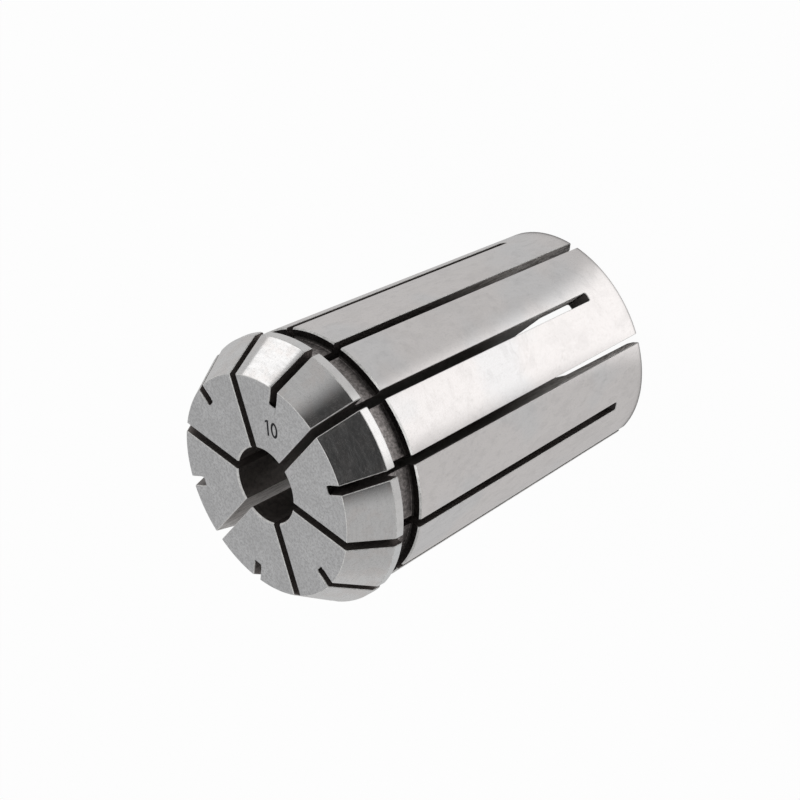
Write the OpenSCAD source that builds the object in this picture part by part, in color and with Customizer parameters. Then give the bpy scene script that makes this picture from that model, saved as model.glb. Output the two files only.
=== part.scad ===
// Double-slotted spring collet for a tool holder, in millimetres.
// The axis is Z. The collet stands on its rear end at Z = 0 and its front face looks up.

/* [Overall] */
// Length from the rear end to the front face
collet_l = 52; // [46:0.5:58]
// Diameter of the land, the widest part of the head
head_d = 35.05; // [34.8:0.05:36.5]

/* [Head] */
// Diameter of the flat front face
face_d = 29; // [27:0.1:31]
// Half angle of the cone that the clamping nut presses on
head_half_angle = 30; // [25:0.5:45]
// Width of the cylindrical land behind the cone
land_w = 1.3; // [0.8:0.1:2.5]
// Chamfer on the rear edge of the land
land_chamfer = 0.15; // [0.05:0.05:0.3]

/* [Nut groove] */
// Width of the groove that the nut's puller ring drops into
groove_w = 3.5; // [2.5:0.1:5]
// Diameter of the neck at the bottom of the groove
neck_d = 30.8; // [29:0.1:32]
// Radius in the two corners at the bottom of the groove
groove_corner_r = 0.35; // [0.1:0.05:0.6]

/* [Tapered body] */
// Diameter of the body at its large end, next to the groove
body_d = 33.4; // [32.6:0.1:34.2]
// Length of body over which its diameter falls by 1 mm
taper_run = 10; // [8:0.5:20]
// Chamfer at the large end of the body
body_chamfer = 0.2; // [0.1:0.05:0.4]
// Chamfer round the outside of the rear end
tail_chamfer = 0.15; // [0.05:0.05:0.3]

/* [Bore] */
// Diameter of the gripping bore
bore_d = 10; // [6:0.5:16]
// Chamfer at the mouth of the bore
mouth_chamfer = 0.2; // [0.1:0.05:0.5]
// Diameter of the relief behind the gripping bore
relief_d = 25.8; // [22:0.1:27]
// Depth of the relief's straight wall, from the rear end
relief_l = 12; // [8:0.5:18]
// Half angle of the cone between the relief and the bore
relief_half_angle = 50; // [40:1:65]
// Chamfer round the inside of the rear end
relief_chamfer = 0.6; // [0.2:0.1:0.8]

/* [Slots] */
// Number of slots sawn from the front, with as many sawn from the rear between them
slot_pairs = 6; // [4:1:6]
// Width of each slot
slot_w = 1.2; // [0.8:0.05:1.6]
// Height of the unslotted ring below each front slot, on the outside
tail_ring_h = 5; // [4:0.5:7]
// Diameter of the circle on the front face at which the rear slots come out
web_d = 24.3; // [22:0.1:26]
// Diameter of the saw blade
saw_d = 80; // [63:1:90]
// Nearest that the saw blade comes to the axis
saw_reach = 0.5; // [0.2:0.1:2]

/* [Hidden] */

steel_colour = [0.76, 0.75, 0.74];
$fn = 96;
through = 1; // how far a cutter runs out into free space

head_r = head_d / 2;
face_r = face_d / 2;
neck_r = neck_d / 2;
bore_r = bore_d / 2;
relief_r = relief_d / 2;
saw_r = saw_d / 2;

cone_h = (head_r - face_r) / tan(head_half_angle);
land_top = collet_l - cone_h;
groove_top = land_top - land_w;
groove_bottom = groove_top - groove_w;
relief_cone_h = (relief_r - bore_r) / tan(relief_half_angle);

slot_pitch = 360 / slot_pairs;
saw_centre_r = saw_r + saw_reach;

// Radius of the tapered body at a height
function body_r_at(z) = body_d / 2 - (groove_bottom - z) / taper_run / 2;

// How far along the axis from the blade's centre its rim is at a radius
function saw_half_chord(r) = sqrt(saw_r ^ 2 - (saw_centre_r - r) ^ 2);

front_saw_z = tail_ring_h + saw_half_chord(body_r_at(tail_ring_h));
rear_saw_z = collet_l - saw_half_chord(web_d / 2);

// Half section of the outside, from the axis outwards, before the groove is cut
module outline() {
    polygon([
        [0, 0],
        [body_r_at(0) - tail_chamfer, 0],
        [body_r_at(tail_chamfer), tail_chamfer],
        [body_r_at(groove_bottom - body_chamfer), groove_bottom - body_chamfer],
        [body_r_at(groove_bottom) - body_chamfer, groove_bottom],
        [neck_r, groove_bottom],
        [neck_r, groove_top],
        [head_r - land_chamfer, groove_top],
        [head_r, groove_top + land_chamfer],
        [head_r, land_top],
        [face_r, collet_l],
        [0, collet_l]
    ]);
}

// Half section of the corner left between the neck and one wall of the groove
module groove_corner() {
    difference() {
        square(groove_corner_r);
        translate([groove_corner_r, groove_corner_r]) circle(groove_corner_r);
    }
}

module groove_corners() {
    translate([neck_r, groove_bottom]) groove_corner();
    translate([neck_r, groove_top]) mirror([0, 1]) groove_corner();
}

module turned_blank() {
    rotate_extrude() {
        outline();
        groove_corners();
    }
}

// Gripping bore with its mouth chamfer
module bore() {
    translate([0, 0, -through]) cylinder(h = collet_l + 2 * through, r = bore_r);
    translate([0, 0, collet_l - mouth_chamfer])
        cylinder(h = mouth_chamfer + through, r1 = bore_r, r2 = bore_r + mouth_chamfer + through);
}

// Wider rear part of the bore, with the cone that leads into it
module relief() {
    translate([0, 0, -through]) cylinder(h = relief_l + through, r = relief_r);
    translate([0, 0, relief_l]) cylinder(h = relief_cone_h, r1 = relief_r, r2 = bore_r);
    translate([0, 0, -through])
        cylinder(h = relief_chamfer + through, r1 = relief_r + relief_chamfer + through, r2 = relief_r);
}

// Slot along +X, sawn from z_open, off the end, to the blade's last place at z_stop
module saw_cut(z_open, z_stop) {
    translate([saw_centre_r, 0, z_stop]) rotate([90, 0, 0]) cylinder(h = slot_w, r = saw_r, center = true);
    translate([bore_r / 2, -slot_w / 2, min(z_open, z_stop)])
        cube([head_r + through, slot_w, abs(z_stop - z_open)]);
}

module front_slots() {
    for (i = [0 : slot_pairs - 1])
        rotate([0, 0, (i + 0.5) * slot_pitch]) saw_cut(collet_l + through, front_saw_z);
}

module rear_slots() {
    for (i = [0 : slot_pairs - 1])
        rotate([0, 0, i * slot_pitch]) saw_cut(-through, rear_saw_z);
}

module collet() {
    color(steel_colour) difference() {
        turned_blank();
        bore();
        relief();
        front_slots();
        rear_slots();
    }
}

collet();
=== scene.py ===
import math

import bpy
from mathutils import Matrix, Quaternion, Vector


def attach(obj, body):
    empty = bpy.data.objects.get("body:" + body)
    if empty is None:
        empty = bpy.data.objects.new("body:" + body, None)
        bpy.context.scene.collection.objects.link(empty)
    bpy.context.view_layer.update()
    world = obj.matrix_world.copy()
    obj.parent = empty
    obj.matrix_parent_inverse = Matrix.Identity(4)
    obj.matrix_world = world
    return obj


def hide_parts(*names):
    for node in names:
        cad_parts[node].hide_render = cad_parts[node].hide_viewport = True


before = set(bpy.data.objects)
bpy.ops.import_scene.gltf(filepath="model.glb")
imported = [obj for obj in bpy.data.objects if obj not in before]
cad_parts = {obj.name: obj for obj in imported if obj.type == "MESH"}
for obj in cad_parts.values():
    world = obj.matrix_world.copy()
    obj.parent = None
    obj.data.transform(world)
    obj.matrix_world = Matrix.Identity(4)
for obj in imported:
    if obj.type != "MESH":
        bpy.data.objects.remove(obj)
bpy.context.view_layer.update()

MM = 0.001

# Sizes of the collet in millimetres, the same as the solid's
LENGTH = 52.0
HEAD_R = 17.525
FACE_R = 14.5
CONE_ANGLE = 30.0
LAND_W = 1.3
LAND_CHAMFER = 0.15
GROOVE_W = 3.5
NECK_R = 15.4
CORNER_R = 0.35
BODY_R = 16.7
TAPER_RUN = 10.0
BODY_CHAMFER = 0.2
TAIL_CHAMFER = 0.15
BORE_R = 5.0
MOUTH_CHAMFER = 0.2
RELIEF_R = 12.9
RELIEF_L = 12.0
RELIEF_ANGLE = 50.0
RELIEF_CHAMFER = 0.6
SLOT_PITCH = 60
SLOT_W = 1.2
TAIL_RING_H = 5.0
WEB_R = 12.15
SAW_R = 40.0
SAW_REACH = 0.5

LAND_TOP = LENGTH - (HEAD_R - FACE_R) / math.tan(math.radians(CONE_ANGLE))
GROOVE_TOP = LAND_TOP - LAND_W
GROOVE_BOTTOM = GROOVE_TOP - GROOVE_W
RELIEF_TOP = RELIEF_L + (RELIEF_R - BORE_R) / math.tan(math.radians(RELIEF_ANGLE))
SAW_CENTRE_R = SAW_R + SAW_REACH

# How finely the round shapes are made
AROUND = 240
CORNER_STEPS = 8
# How much the sharp edges are broken: on the head, on the body, in the bore, and round the front face
# and the land
HEAD_BREAK = 0.10
EDGE_BREAK = 0.06
BORE_EDGE_BREAK = 0.04
FACE_EDGE_BREAK = 0.05
# How much the saw's rim is worn round, and in how many steps
RIM_WEAR = 0.22
RIM_STEPS = 3

# How close in millimetres two heights count as one, and two places are on the same line
SAME = 0.001
BESIDE = 0.01
# How far up its rounded corners the neck's finish goes
NECK_MARGIN = 0.02
# From which share of facing it a face of the blade counts as its flat side
FLAT_SIDE = 0.99
# Corners closer than this are joined: on the turned blank, and after the cuts
JOIN_TURNED = 0.002
JOIN_CUT = 0.004
# Angles in degrees from which an edge is sharp: on the saw's rim, on the collet and round the land
RIM_SHARP = 60
EDGE_SHARP = 48
LAND_SHARP = 20
# Angles in degrees up to which faces are one flat, and up to which they are shaded as one round
FLAT = 1
ROUND = 12

FINISHES = ("ground taper", "ground cone", "ground land", "satin face", "turned neck", "groove wall",
            "sawn wall", "slot end", "dark bore", "broken edge", "ground chamfer", "tail edge",
            "etched mark", "rear ring")


def body_r(z):
    """Radius of the tapered body at a height."""
    return BODY_R - (GROOVE_BOTTOM - z) / TAPER_RUN / 2


def half_chord(r):
    """How far along the axis the saw's rim is from its centre, at a radius."""
    return math.sqrt(SAW_R ** 2 - (SAW_CENTRE_R - r) ** 2)


def corner(r, z, toward):
    """Points down a groove's rounded corner, from the wall to the neck."""
    points = []
    for step in range(CORNER_STEPS + 1):
        turn = math.radians(90 * step / CORNER_STEPS)
        out, up = CORNER_R * (1 - math.sin(turn)), CORNER_R * (1 - math.cos(turn))
        points.append((r + out, z + toward * up))
    return points


def half_section():
    """Radius and height of each turned edge: up the outside, across the face and down the bore."""
    lower = corner(NECK_R, GROOVE_BOTTOM, 1)
    upper = corner(NECK_R, GROOVE_TOP, -1)
    return [
        (body_r(0) - TAIL_CHAMFER, 0),
        (body_r(TAIL_CHAMFER), TAIL_CHAMFER),
        (body_r(GROOVE_BOTTOM - BODY_CHAMFER), GROOVE_BOTTOM - BODY_CHAMFER),
        (BODY_R - BODY_CHAMFER, GROOVE_BOTTOM),
        *lower,
        *reversed(upper),
        (HEAD_R - LAND_CHAMFER, GROOVE_TOP),
        (HEAD_R, GROOVE_TOP + LAND_CHAMFER),
        (HEAD_R, LAND_TOP),
        (FACE_R, LENGTH),
        (BORE_R + MOUTH_CHAMFER, LENGTH),
        (BORE_R, LENGTH - MOUTH_CHAMFER),
        (BORE_R, RELIEF_TOP),
        (RELIEF_R, RELIEF_L),
        (RELIEF_R, RELIEF_CHAMFER),
        (RELIEF_R + RELIEF_CHAMFER, 0),
    ]


def pick(piece):
    bpy.ops.object.select_all(action="DESELECT")
    piece.select_set(True)
    bpy.context.view_layer.objects.active = piece


def finish_of(r, z):
    """Name of the finish of a turned surface, by the middle of its face in millimetres."""
    in_bore = r < BORE_R + MOUTH_CHAMFER
    in_relief = z < RELIEF_TOP + SAME and r < RELIEF_R + RELIEF_CHAMFER
    if z > LENGTH - SAME:
        return "satin face"
    if z < SAME:
        return "rear ring"
    if in_bore or in_relief:
        return "broken edge" if z > LENGTH - MOUTH_CHAMFER else "dark bore"
    if z > LAND_TOP:
        return "ground cone"
    if z > GROOVE_TOP + LAND_CHAMFER:
        return "ground land"
    if z > GROOVE_TOP + SAME:
        return "broken edge"
    if z > GROOVE_BOTTOM - SAME:
        return "turned neck" if r < NECK_R + NECK_MARGIN else "groove wall"
    if z < TAIL_CHAMFER:
        return "tail edge"
    if z > GROOVE_BOTTOM - BODY_CHAMFER:
        return "ground chamfer"
    return "ground taper"


def add_finishes(piece):
    for name in FINISHES:
        piece.data.materials.append(bpy.data.materials[name])


def turned_blank():
    """The collet before it is sawn, turned from one ring that is drawn out edge by edge."""
    section = half_section()
    (r, z), rest = section[0], section[1:]
    bpy.ops.mesh.primitive_circle_add(vertices=AROUND, radius=r * MM, fill_type="NOTHING",
                                      location=(0, 0, 0))
    blank = bpy.context.object
    blank.name = blank.data.name = "spring_collet"
    bpy.ops.object.mode_set(mode="EDIT")
    bpy.ops.mesh.select_all(action="SELECT")
    for next_r, next_z in rest + section[:1]:
        rise = (0, 0, (next_z - z) * MM)
        bpy.ops.mesh.extrude_region_move(TRANSFORM_OT_translate={"value": rise})
        bpy.ops.transform.resize(value=(next_r / r, next_r / r, 1), center_override=(0, 0, 0))
        r, z = next_r, next_z
    bpy.ops.mesh.select_all(action="SELECT")
    bpy.ops.mesh.remove_doubles(threshold=JOIN_TURNED * MM)
    bpy.ops.mesh.normals_make_consistent(inside=False)
    bpy.ops.object.mode_set(mode="OBJECT")
    add_finishes(blank)
    for face in blank.data.polygons:
        # The middle of a flat facet lies a little inside the circle, so the radius is read at its corners
        corners = [blank.data.vertices[i].co / MM for i in face.vertices]
        r = sum(math.hypot(c.x, c.y) for c in corners) / len(corners)
        face.material_index = FINISHES.index(finish_of(r, face.center.z / MM))
    return blank


def saw(turn, stop_z, away):
    """The room that the saw blade sweeps: a disc at its last place, drawn out along the axis."""
    bpy.ops.mesh.primitive_cylinder_add(vertices=AROUND, radius=SAW_R * MM, depth=SLOT_W * MM,
                                        location=(SAW_CENTRE_R * MM, 0, stop_z * MM),
                                        rotation=(math.radians(90), 0, 0))
    blade = bpy.context.object
    bpy.ops.object.transform_apply(location=True, rotation=True, scale=True)
    bpy.ops.object.mode_set(mode="EDIT")
    bpy.ops.mesh.select_mode(type="EDGE")
    bpy.ops.mesh.select_all(action="DESELECT")
    bpy.ops.mesh.edges_select_sharp(sharpness=math.radians(RIM_SHARP))
    bpy.ops.mesh.bevel(offset=RIM_WEAR * MM, segments=RIM_STEPS, affect="EDGES", clamp_overlap=False)
    bpy.ops.mesh.select_all(action="DESELECT")
    bpy.ops.object.mode_set(mode="OBJECT")
    for point in blade.data.vertices:
        point.select = (point.co.z / MM - stop_z) * away > BESIDE
    bpy.ops.object.mode_set(mode="EDIT")
    bpy.ops.mesh.select_mode(type="VERT")
    bpy.ops.transform.translate(value=(0, 0, away * LENGTH * MM))
    bpy.ops.mesh.select_all(action="SELECT")
    bpy.ops.transform.rotate(value=-math.radians(turn), orient_axis="Z", center_override=(0, 0, 0))
    bpy.ops.object.mode_set(mode="OBJECT")
    add_finishes(blade)
    across = Vector((math.sin(math.radians(turn)), -math.cos(math.radians(turn)), 0))
    for face in blade.data.polygons:
        flat = abs(face.normal.dot(across)) > FLAT_SIDE
        face.material_index = FINISHES.index("sawn wall" if flat else "slot end")
    return blade


def cut(piece, tool):
    """Takes a tool's shape out of a piece, and puts the tool away."""
    step = piece.modifiers.new("cut", "BOOLEAN")
    step.operation = "DIFFERENCE"
    step.solver = "EXACT"
    step.object = tool
    pick(piece)
    bpy.ops.object.modifier_apply(modifier=step.name)
    bpy.data.objects.remove(tool, do_unlink=True)


def saw_slots(piece):
    """Saws the slots from the front, and between them those from the rear."""
    front_z = TAIL_RING_H + half_chord(body_r(TAIL_RING_H))
    rear_z = LENGTH - half_chord(WEB_R)
    for turn in range(0, 360, SLOT_PITCH):
        cut(piece, saw(turn + SLOT_PITCH / 2, front_z, 1))
        cut(piece, saw(turn, rear_z, -1))


def finishes_beside(piece):
    """The finishes on the two sides of each edge."""
    sides = {}
    for face in piece.data.polygons:
        for key in face.edge_keys:
            sides.setdefault(key, set()).add(FINISHES[face.material_index])
    return sides


def chamfer(piece, width, wanted, finish="broken edge", sharpness=EDGE_SHARP):
    """Breaks each sharp edge whose finishes are wanted."""
    pick(piece)
    bpy.ops.object.mode_set(mode="EDIT")
    bpy.ops.mesh.select_mode(type="EDGE")
    bpy.ops.mesh.select_all(action="DESELECT")
    bpy.ops.mesh.edges_select_sharp(sharpness=math.radians(sharpness))
    bpy.ops.object.mode_set(mode="OBJECT")
    sides = finishes_beside(piece)
    for face in piece.data.polygons:
        face.select = False
    for edge in piece.data.edges:
        edge.select = edge.select and wanted(sides[edge.key])
    bpy.ops.object.mode_set(mode="EDIT")
    bpy.ops.mesh.bevel(offset=width * MM, segments=1, affect="EDGES", clamp_overlap=False,
                       material=FINISHES.index(finish))
    bpy.ops.object.mode_set(mode="OBJECT")


def break_edges(piece):
    """Takes the burr off every sawn and turned edge, but leaves the etched number crisp."""
    pick(piece)
    bpy.ops.object.mode_set(mode="EDIT")
    bpy.ops.mesh.select_mode(type="FACE")
    bpy.ops.mesh.select_all(action="SELECT")
    bpy.ops.mesh.remove_doubles(threshold=JOIN_CUT * MM)
    bpy.ops.mesh.select_all(action="DESELECT")
    bpy.ops.object.mode_set(mode="OBJECT")
    for face in piece.data.polygons:
        face.select = FINISHES[face.material_index] == "satin face"
    bpy.ops.object.mode_set(mode="EDIT")
    bpy.ops.mesh.dissolve_limited(angle_limit=math.radians(FLAT))
    bpy.ops.object.mode_set(mode="OBJECT")
    front = {"satin face", "ground cone"}
    head = front | {"ground land"}
    left = {"etched mark", "turned neck", "groove wall"}
    chamfer(piece, HEAD_BREAK,
            lambda sides: sides != front and bool(sides & head) and not sides & left)
    bore = {"dark bore", "sawn wall"}
    chamfer(piece, BORE_EDGE_BREAK, lambda sides: sides == bore, "dark bore")
    chamfer(piece, EDGE_BREAK, lambda sides: not sides & (head | left | {"dark bore"}))
    chamfer(piece, FACE_EDGE_BREAK, lambda sides: sides == front)
    chamfer(piece, FACE_EDGE_BREAK, lambda sides: sides == {"ground cone", "ground land"},
            sharpness=LAND_SHARP)


# Where the bore's size is marked: the middle of the number, and the way that its foot runs
MARK_AT = (4.22, -7.68)
MARK_TURN = -137.0
MARK_H = 2.12
MARK_STROKE = 0.32
MARK_DEPTH = 0.03
DIGIT_STEP = 1.13
ZERO_W = 1.2
ZERO_STEPS = 48
# The 1's bar is parted into short stretches, and its flag is drawn out of the top one
BAR_PARTS = 8
FLAG_OUT = 0.3
FLAG_DOWN = 0.24
# Height of the cutters, which only have to reach out of the face
CUTTER_H = 1


def mark_digit(outline_of, across):
    """Raises a flat digit into a cutter and takes it to its place on the face."""
    outline_of()
    digit = bpy.context.object
    bpy.ops.object.mode_set(mode="EDIT")
    bpy.ops.mesh.select_all(action="SELECT")
    bpy.ops.mesh.extrude_region_move(TRANSFORM_OT_translate={"value": (0, 0, CUTTER_H * MM)})
    bpy.ops.mesh.select_all(action="SELECT")
    bpy.ops.mesh.normals_make_consistent(inside=False)
    bpy.ops.transform.translate(value=(across * MM, 0, (LENGTH - MARK_DEPTH) * MM))
    bpy.ops.transform.rotate(value=-math.radians(MARK_TURN), orient_axis="Z",
                             center_override=(0, 0, 0))
    bpy.ops.transform.translate(value=(MARK_AT[0] * MM, MARK_AT[1] * MM, 0))
    bpy.ops.object.mode_set(mode="OBJECT")
    add_finishes(digit)
    for face in digit.data.polygons:
        face.material_index = FINISHES.index("etched mark")
    return digit


def one_outline():
    """A bar with a short flag at its top left."""
    bpy.ops.mesh.primitive_plane_add(size=1 * MM, location=(0, 0, 0))
    bpy.ops.object.mode_set(mode="EDIT")
    bpy.ops.transform.resize(value=(MARK_STROKE, MARK_H, 1), center_override=(0, 0, 0))
    bpy.ops.mesh.subdivide(number_cuts=BAR_PARTS - 1)
    bpy.ops.mesh.select_all(action="DESELECT")
    bpy.ops.object.mode_set(mode="OBJECT")
    bar = bpy.context.object.data
    for edge in bar.edges:
        middle = (bar.vertices[edge.vertices[0]].co + bar.vertices[edge.vertices[1]].co) / 2 / MM
        edge.select = middle.x < -MARK_STROKE / 2 + BESIDE and middle.y > MARK_H * (0.5 - 1 / BAR_PARTS)
    bpy.ops.object.mode_set(mode="EDIT")
    bpy.ops.mesh.select_mode(type="EDGE")
    flag = (-FLAG_OUT * MM, -FLAG_DOWN * MM, 0)
    bpy.ops.mesh.extrude_region_move(TRANSFORM_OT_translate={"value": flag})
    bpy.ops.mesh.select_all(action="SELECT")
    bpy.ops.mesh.dissolve_limited(angle_limit=math.radians(FLAT))
    bpy.ops.object.mode_set(mode="OBJECT")


def zero_outline():
    """A tall oval ring."""
    bpy.ops.mesh.primitive_circle_add(vertices=ZERO_STEPS, radius=MARK_H / 2 * MM, fill_type="NGON",
                                      location=(0, 0, 0))
    bpy.ops.object.mode_set(mode="EDIT")
    bpy.ops.mesh.select_all(action="SELECT")
    bpy.ops.transform.resize(value=(ZERO_W / MARK_H, 1, 1), center_override=(0, 0, 0))
    bpy.ops.mesh.inset(thickness=MARK_STROKE * MM)
    bpy.ops.mesh.delete(type="FACE")
    bpy.ops.object.mode_set(mode="OBJECT")


def mark_size(piece):
    """Etches the bore's size into the face."""
    cut(piece, mark_digit(one_outline, -DIGIT_STEP / 2))
    cut(piece, mark_digit(zero_outline, DIGIT_STEP / 2))


class Value:
    """A shader socket that takes part in sums."""

    def __init__(self, finish, socket):
        self.finish = finish
        self.socket = socket

    def math(self, operation, first, second, clamp=False):
        settings = {"operation": operation, "use_clamp": clamp}
        return self.finish.node("Math", settings, {0: first, 1: second})

    def __add__(self, other):
        return self.math("ADD", self, other)

    def __radd__(self, other):
        return self.math("ADD", other, self)

    def __sub__(self, other):
        return self.math("SUBTRACT", self, other)

    def __rsub__(self, other):
        return self.math("SUBTRACT", other, self)

    def __mul__(self, other):
        return self.math("MULTIPLY", self, other)

    def __rmul__(self, other):
        return self.math("MULTIPLY", other, self)


class Finish:
    """Puts together the nodes of one material or of the world."""

    def __init__(self, tree):
        self.tree = tree

    def node(self, kind, settings=None, inputs=None, output=0):
        """Adds a node with its settings, links or sets its inputs, and gives one of its outputs."""
        made = self.tree.nodes.new("ShaderNode" + kind)
        for name, value in (settings or {}).items():
            setattr(made, name, value)
        for name, value in (inputs or {}).items():
            if isinstance(value, Value):
                self.tree.links.new(value.socket, made.inputs[name])
            else:
                made.inputs[name].default_value = value
        return Value(self, made.outputs[output])

    def clamped(self, value):
        """The value, kept between 0 and 1."""
        return value.math("ADD", value, 0.0, clamp=True)

    def between(self, value, low, high):
        """0 below low, 1 above high, and a smooth rise from one to the other."""
        return self.node("MapRange", {"interpolation_type": "SMOOTHSTEP"},
                         {"Value": value, "From Min": low, "From Max": high})

    def place(self, scale=(1, 1, 1), turn=(0, 0, 0)):
        """The piece's own coordinates in millimetres, squeezed by scale."""
        raw = self.node("TexCoord", output="Object")
        return self.node("Mapping", None, {"Vector": raw, "Rotation": turn,
                                           "Scale": tuple(s / MM for s in scale)})

    def noise(self, scale=(1, 1, 1), size=1.0, detail=2.0, rough=0.5, turn=(0, 0, 0)):
        """Noise whose features are about size millimetres, squeezed by scale."""
        return self.node("TexNoise", None, {"Vector": self.place(scale, turn), "Scale": 1 / size,
                                            "Detail": detail, "Roughness": rough}, "Fac")

    def mix(self, share, first, second, blend="MIX"):
        """A colour part way from the first to the second."""
        return self.node("Mix", {"data_type": "RGBA", "blend_type": blend},
                         {0: share, 6: first, 7: second}, 2)

    def bump(self, height, strength, distance):
        """Small relief, whose full height is a distance in millimetres."""
        return self.node("Bump", None, {"Height": height, "Strength": strength,
                                        "Distance": distance * MM})


QUARTER_TURN = 0.25


def metal(name, colour, roughness, drawn, build, metallic=1.0):
    """A steel finish. drawn is how far its highlights are drawn out across the grinding lines.

    build gets the nodes and returns what varies, by socket name.
    """
    material = bpy.data.materials.new(name)
    material.use_nodes = True
    shader = material.node_tree.nodes["Principled BSDF"]
    shader.inputs["Base Color"].default_value = (*colour, 1)
    shader.inputs["Metallic"].default_value = metallic
    shader.inputs["Roughness"].default_value = roughness
    shader.inputs["Anisotropic"].default_value = drawn
    shader.inputs["Anisotropic Rotation"].default_value = QUARTER_TURN
    finish = Finish(material.node_tree)
    for socket, value in build(finish, colour, roughness).items():
        material.node_tree.links.new(value.socket, shader.inputs[socket])


def shade(colour, factor):
    """A colour made darker or paler by a factor."""
    return tuple(c * factor for c in colour) + (1,)


def grey(level):
    return (level, level, level, 1)


def ground(f, colour, roughness):
    """Fine grinding lines that run round the axis, under cloudy wear and slanting rub marks."""
    lines = f.noise((0.25, 0.25, 5), size=0.4, detail=4, rough=0.65)
    speck = f.noise(size=0.32, detail=3, rough=0.75)
    clouds = f.noise((1, 1, 0.5), size=2.6, detail=5, rough=0.66)
    rubs = f.noise((0.35, 2.2, 0.9), size=1.5, detail=4, rough=0.6, turn=(0.4, 0.7, 0.5))
    warmth = f.noise(size=12, detail=2)
    tone = f.mix(f.between(clouds, 0.34, 0.52), shade(colour, 0.945), shade(colour, 1.0))
    rubbed = f.mix(f.between(rubs, 0.48, 0.68) * 0.7, tone, shade(colour, 0.90))
    cast = f.mix(f.between(warmth, 0.52, 0.66), rubbed, (0.96, 0.985, 1.0, 1), "MULTIPLY")
    return {
        "Base Color": f.mix(f.between(speck, 0.52, 0.70), cast, grey(0.93), "MULTIPLY"),
        "Roughness": roughness + (clouds - 0.5) * 0.10 + (lines - 0.5) * 0.05,
        "Normal": f.bump(lines + rubs * 0.3 + speck * 0.4, 0.05, 0.01),
    }


def ground_cone(f, colour, roughness):
    """As on the taper, with smoother metal, streaks round the slope and a faint brown cast in places."""
    lines = f.noise((0.25, 0.25, 5), size=0.3, detail=4, rough=0.65)
    streaks = f.noise((0.4, 0.4, 3.0), size=0.9, detail=4, rough=0.7)
    speck = f.noise(size=0.30, detail=3, rough=0.75)
    clouds = f.noise(size=2.2, detail=3, rough=0.6)
    cast = f.mix(f.between(clouds, 0.46, 0.62) * 0.35, shade(colour, 1.0), (0.90, 0.82, 0.78, 1))
    streaked = f.mix(f.between(streaks, 0.42, 0.62) * 0.4, cast, shade(colour, 0.85))
    stain = f.between(streaks, 0.46, 0.62) * 0.02 + f.between(speck, 0.50, 0.62) * 0.06
    return {
        "Base Color": f.mix(f.between(speck, 0.48, 0.66) * 0.8, streaked, grey(0.87), "MULTIPLY"),
        "Metallic": 1 - stain,
        "Roughness": roughness + (clouds - 0.5) * 0.12 + (streaks - 0.5) * 0.16,
        "Normal": f.bump(lines * 0.3 + speck, 0.02, 0.01),
    }


def satin(f, colour, roughness):
    """The flat face: an even blasted grain with small pits, and a few long faint lines."""
    grain = f.noise(size=0.30, detail=4, rough=0.75)
    pits = f.noise(size=0.25, detail=1)
    clouds = f.noise(size=3.0, detail=4, rough=0.6)
    scores = f.noise((0.12, 2.4, 1), size=0.5, detail=3, turn=(0, 0, 0.9))
    tone = f.mix(f.between(clouds, 0.3, 0.7), shade(colour, 0.94), shade(colour, 1.06))
    grained = f.mix(f.between(grain, 0.38, 0.64), tone, shade(colour, 0.74))
    return {
        "Base Color": f.mix(f.between(pits, 0.72, 0.80) * 0.6, grained, shade(colour, 0.5)),
        "Roughness": roughness + (grain - 0.5) * 0.12,
        "Normal": f.bump(grain * 0.7 + scores * 0.5, 0.14, 0.012),
    }


def turned(f, colour, roughness):
    """The groove as the lathe left it: close rings, dark scale in patches, and painted shade in the rear
    corner.
    """
    rings = f.noise((0.15, 0.15, 5), size=0.35, detail=3, rough=0.6)
    scale = f.noise(size=0.38, detail=4, rough=0.75)
    height = f.node("SeparateXYZ", None, {0: f.place()}, "Z")
    # Painted shade: darker and browner towards the groove's rear wall
    painted_corner_shade = f.between(height, GROOVE_TOP - 0.8, GROOVE_BOTTOM + 0.6) * 0.5
    tone = f.mix(f.between(scale, 0.38, 0.66), shade(colour, 0.55), shade(colour, 1.4))
    corner_shaded = f.mix(painted_corner_shade, tone, (0.30, 0.27, 0.26, 1), "MULTIPLY")
    ringed = f.mix(f.between(rings, 0.4, 0.6) * 0.5, corner_shaded, (0.55, 0.54, 0.53, 1), "MULTIPLY")
    return {
        "Base Color": ringed,
        "Roughness": roughness + (scale - 0.5) * 0.2,
        "Normal": f.bump(rings + scale * 0.3, 0.35, 0.02),
    }


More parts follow.
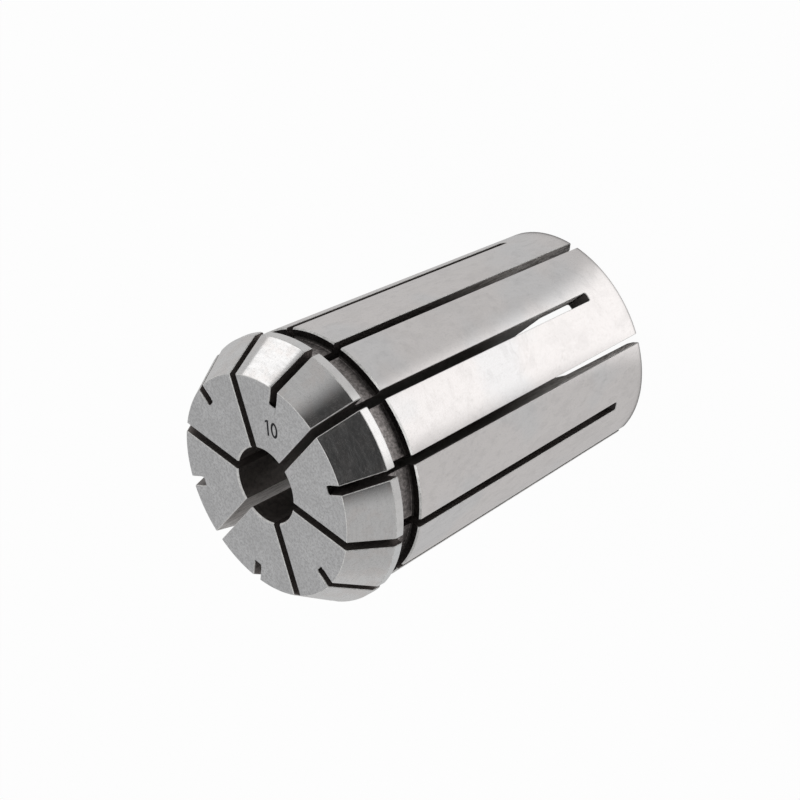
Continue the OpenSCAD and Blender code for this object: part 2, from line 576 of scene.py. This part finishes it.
def sawn(f, colour, roughness):
    """Slot walls, scored by the saw's teeth, dark, with patches of scale.

    Painted light: they are made pale near the open rear end and on a strip at the back, and less
    metallic, so paler, on the -X side near the rear.
    """
    scores = f.noise((1, 1, 0.14), size=0.34, detail=4, rough=0.6, turn=(0.14, 0.14, 0))
    scale = f.noise(size=0.5, detail=4, rough=0.7)
    place = f.place()
    height = f.node("SeparateXYZ", None, {0: place}, "Z")
    back = f.between(f.node("SeparateXYZ", None, {0: place}, "Y"), 3, 6)
    aside = f.node("SeparateXYZ", None, {0: place}, "X")
    # Painted light: pale walls at the back and near the open rear end, where light comes in through the
    # slots
    painted_back_light = back * f.between(aside * aside, 1.4, 0.8) * f.between(height, 20, 30) * 0.75
    rear = f.between(height, 30, 9) * f.between(aside * aside, 150, 90)
    painted_light_mask = f.clamped(rear + painted_back_light)
    painted_lit_wall = f.mix(painted_light_mask, (0.23, 0.205, 0.195, 1), shade(colour, 1.0))
    tone = f.mix(f.between(scale, 0.50, 0.66) * 0.5, painted_lit_wall, (0.50, 0.49, 0.48, 1), "MULTIPLY")
    scored = f.between(scores, 0.48, 0.56) * (0.35 + painted_light_mask * 0.4)
    return {
        "Base Color": f.mix(scored, tone, (0.42, 0.41, 0.40, 1), "MULTIPLY"),
        # Painted light: less metallic, and so paler, on the -X side near the rear
        "Metallic": 0.75 - rear * f.between(aside, 4, 0) * 0.65,
        "Roughness": roughness + (scale - 0.5) * 0.2,
        "Normal": f.bump(scores + scale * 0.4, 0.6, 0.03),
    }


def worn_edge(f, colour, roughness):
    """A broken edge: bright metal, with short stretches where the burr is left."""
    wear = f.noise(size=0.5, detail=3, rough=0.7)
    return {
        "Base Color": f.mix(f.between(wear, 0.35, 0.62), shade(colour, 0.72), shade(colour, 1.0)),
        "Roughness": roughness + (wear - 0.5) * 0.2,
    }


def etched(f, colour, roughness):
    """The burnt floor of the number, with a very fine grain."""
    grain = f.noise(size=0.09, detail=2)
    return {
        "Base Color": f.mix(f.between(grain, 0.35, 0.7), shade(colour, 0.7), shade(colour, 1.4)),
        "Roughness": roughness + (grain - 0.5) * 0.2,
    }


def make_finishes():
    metal("ground taper", (1.0, 0.960, 0.945), 0.25, 0.80, ground)
    metal("ground cone", (0.98, 0.97, 0.965), 0.15, 0.80, ground_cone)
    metal("ground land", (1.0, 0.985, 0.975), 0.20, 0.80, ground)
    metal("satin face", (0.88, 0.88, 0.885), 0.44, 0.0, satin)
    metal("turned neck", (0.52, 0.485, 0.475), 0.40, 0.3, turned)
    # Painted shade: the groove's walls are near black, as if they mirrored only dark
    metal("groove wall", (0.09, 0.083, 0.080), 0.5, 0.0, turned)
    metal("sawn wall", (1.0, 0.97, 0.95), 0.36, 0.0, sawn, 0.75)
    # Painted shade: the slots' curved ends are near black
    metal("slot end", (0.055, 0.048, 0.045), 0.5, 0.0, worn_edge, 0.7)
    # Painted shade: the bore is darker than the other steel
    metal("dark bore", (0.38, 0.35, 0.335), 0.45, 0.0, worn_edge)
    # Painted highlight: the broken edges are white and mostly not metallic, so they show as bright lines
    metal("broken edge", (1.0, 0.99, 0.97), 0.5, 0.0, worn_edge, 0.2)
    metal("ground chamfer", (1.0, 0.99, 0.97), 0.3, 0.0, worn_edge)
    # Painted shade: the tail's chamfer is darker grey than the other steel
    metal("tail edge", (0.36, 0.36, 0.37), 0.5, 0.0, worn_edge)
    metal("etched mark", (0.05, 0.05, 0.055), 0.7, 0.0, etched)
    metal("rear ring", (0.78, 0.77, 0.76), 0.40, 0.0, ground)


# The studio, in which brightness is 1 for white. The camera's side is an angle in degrees from +X
CAMERA_AT = Vector((-60.744, -295.260, 251.497)) * MM
CAMERA_AIM = Vector((1.929, -0.410, 27.993)) * MM
CAMERA_ROLL = 116.57
CAMERA_LENS = 134.232
CAMERA_SENSOR = 36
CAMERA_CLIP = 0.01
CAMERA_SIDE = -102.0

# What the steel mirrors: a grey floor and room, a white card laid before the camera, and the unlit side
# of the room behind the camera. A panel is its middle and its width, in degrees from the camera's side
FLOOR_GREY = 0.5
ROOM_GREY = 0.4
UNLIT_GREY = 0.03
CEILING_GREY = 0.2
# Under the collet's foot the floor that the steel mirrors is a painted shadow
UNDER_SHADOW_GREY = 0.1
WHITE = 1.0
WHITE_CARD = (0, 50)
UNLIT_SIDE = (0, 90)
SOFT_SIDE = 12
# How far the white card reaches out, how soft its end is and where the collet's foot ends, in metres
CARD_REACH = 0.15
CARD_END = 0.02
FOOT_EDGE = (0.01472, 0.01500)
# Where the walls turn into the ceiling, as the upward part of a direction
CEILING_EDGE = (0.6, 0.95)
# The floor's radius and height in metres, its own paleness, and how much of it the camera sees as light
FLOOR_R = 3
FLOOR_AROUND = 96
FLOOR_Z = -0.00001
FLOOR_PALE = 0.95
CAMERA_SHARE = 0.96
# Heights in metres that the lamps look at
BODY_MIDDLE = 0.03
HEAD_MIDDLE = 0.045


def bearing(f, vector):
    """How far round the axis a direction or a place is from the camera's side, in degrees."""
    turned_to = f.node("VectorRotate", {"rotation_type": "Z_AXIS"},
                       {"Vector": vector, "Angle": -math.radians(CAMERA_SIDE)})
    x = f.node("SeparateXYZ", None, {0: turned_to}, "X")
    y = f.node("SeparateXYZ", None, {0: turned_to}, "Y")
    return x.math("ARCTAN2", y, x) * (180 / math.pi)


def panel(f, angle, middle, width):
    """1 across a panel, and soft at its two sides."""
    off = f.node("Math", {"operation": "ABSOLUTE"}, {0: angle - middle})
    return f.between(off, width / 2 + SOFT_SIDE, width / 2 - SOFT_SIDE)


def make_world():
    """The room round the collet, which the camera sees as plain white."""
    world = bpy.data.worlds.new("studio")
    world.use_nodes = True
    bpy.context.scene.world = world
    tree = world.node_tree
    f = Finish(tree)
    way = f.node("TexCoord", output="Generated")
    height = f.node("SeparateXYZ", None, {0: way}, "Z")
    walls = f.mix(panel(f, bearing(f, way), *UNLIT_SIDE), grey(ROOM_GREY), grey(UNLIT_GREY))
    room = f.mix(f.between(height, *CEILING_EDGE), walls, grey(CEILING_GREY))
    seen = f.node("LightPath", output="Is Camera Ray")
    colour = f.mix(seen, room, grey(WHITE))
    tree.links.new(colour.socket, tree.nodes["Background"].inputs["Color"])


def make_floor():
    """A pale floor that keeps the collet's shadow. The camera sees the rest of it as plain white."""
    bpy.ops.mesh.primitive_circle_add(vertices=FLOOR_AROUND, radius=FLOOR_R, fill_type="NGON",
                                      location=(0, 0, FLOOR_Z))
    floor = bpy.context.object
    floor.name = "studio_floor"
    material = bpy.data.materials.new("pale floor")
    material.use_nodes = True
    material.cycles.emission_sampling = "NONE"
    tree = material.node_tree
    matt = tree.nodes["Principled BSDF"]
    matt.inputs["Base Color"].default_value = grey(FLOOR_PALE)
    matt.inputs["Roughness"].default_value = 1.0
    matt.inputs["Specular IOR Level"].default_value = 0.0
    f = Finish(tree)
    place = f.node("TexCoord", output="Object")
    spread = f.node("VectorMath", {"operation": "LENGTH"}, {0: place}, "Value")
    side = bearing(f, place)
    near = f.mix(panel(f, side, *WHITE_CARD), grey(FLOOR_GREY), grey(WHITE))
    far = f.mix(panel(f, side, *UNLIT_SIDE), grey(FLOOR_GREY), grey(UNLIT_GREY))
    open_floor = f.mix(f.between(spread, CARD_REACH, CARD_REACH + CARD_END), near, far)
    # Painted shadow: under the collet's foot the floor that the steel mirrors is dark
    mirrored = f.mix(f.between(spread, *FOOT_EDGE), grey(UNDER_SHADOW_GREY), open_floor)
    camera_ray = f.node("LightPath", output="Is Camera Ray")
    mirror_ray = f.node("LightPath", output="Is Glossy Ray")
    through_ray = f.node("LightPath", output="Is Transmission Ray")
    glow = f.mix(camera_ray, mirrored, grey(WHITE))
    light = f.node("Emission", None, {"Color": glow, "Strength": 1.0})
    share = f.clamped(camera_ray * CAMERA_SHARE + mirror_ray + through_ray)
    both = f.node("MixShader", None, {0: share, 1: Value(f, matt.outputs[0]), 2: light})
    tree.links.new(both.socket, tree.nodes["Material Output"].inputs["Surface"])
    floor.data.materials.append(material)


def softbox(name, at, size, brightness, aim_z):
    """A soft lamp that looks at a height on the axis. Its size is its width and height in metres."""
    lamp = bpy.data.lights.new(name, "AREA")
    lamp.shape = "RECTANGLE"
    lamp.size, lamp.size_y = size
    lamp.energy = brightness * math.pi * size[0] * size[1]
    holder = bpy.data.objects.new(name, lamp)
    bpy.context.scene.collection.objects.link(holder)
    holder.location = at
    toward = Vector((0, 0, aim_z)) - Vector(at)
    holder.rotation_euler = toward.to_track_quat("-Z", "Y").to_euler()


def around(angle, height_angle, distance):
    """A place by its angle round the axis, its angle above the head's level and its distance."""
    a, h = math.radians(angle), math.radians(height_angle)
    return (distance * math.cos(a) * math.cos(h), distance * math.sin(a) * math.cos(h),
            HEAD_MIDDLE + distance * math.sin(h))


def make_lamps():
    softbox("overhead lamp", at=(-0.05, -0.12, 0.8), size=(1.1, 1.1), brightness=0.92,
            aim_z=BODY_MIDDLE)
    softbox("side lamp", at=around(angle=-4, height_angle=7, distance=0.6), size=(0.32, 0.19),
            brightness=0.64, aim_z=HEAD_MIDDLE)


def make_camera():
    lens = bpy.data.cameras.new("camera")
    lens.sensor_width = CAMERA_SENSOR
    lens.lens = CAMERA_LENS
    lens.clip_start = CAMERA_CLIP
    camera = bpy.data.objects.new("camera", lens)
    bpy.context.scene.collection.objects.link(camera)
    level = (CAMERA_AIM - CAMERA_AT).to_track_quat("-Z", "Y")
    camera.rotation_euler = (level @ Quaternion((0, 0, 1), -math.radians(CAMERA_ROLL))).to_euler()
    camera.location = CAMERA_AT
    bpy.context.scene.camera = camera


bpy.ops.object.select_all(action="DESELECT")
bpy.context.scene.view_settings.view_transform = "Standard"
make_camera()
make_finishes()
collet = turned_blank()
saw_slots(collet)
mark_size(collet)
break_edges(collet)
pick(collet)
bpy.ops.object.shade_smooth_by_angle(angle=math.radians(ROUND))
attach(collet, "root")
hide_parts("collet")

make_world()
make_floor()
make_lamps()

bpy.context.view_layer.update()
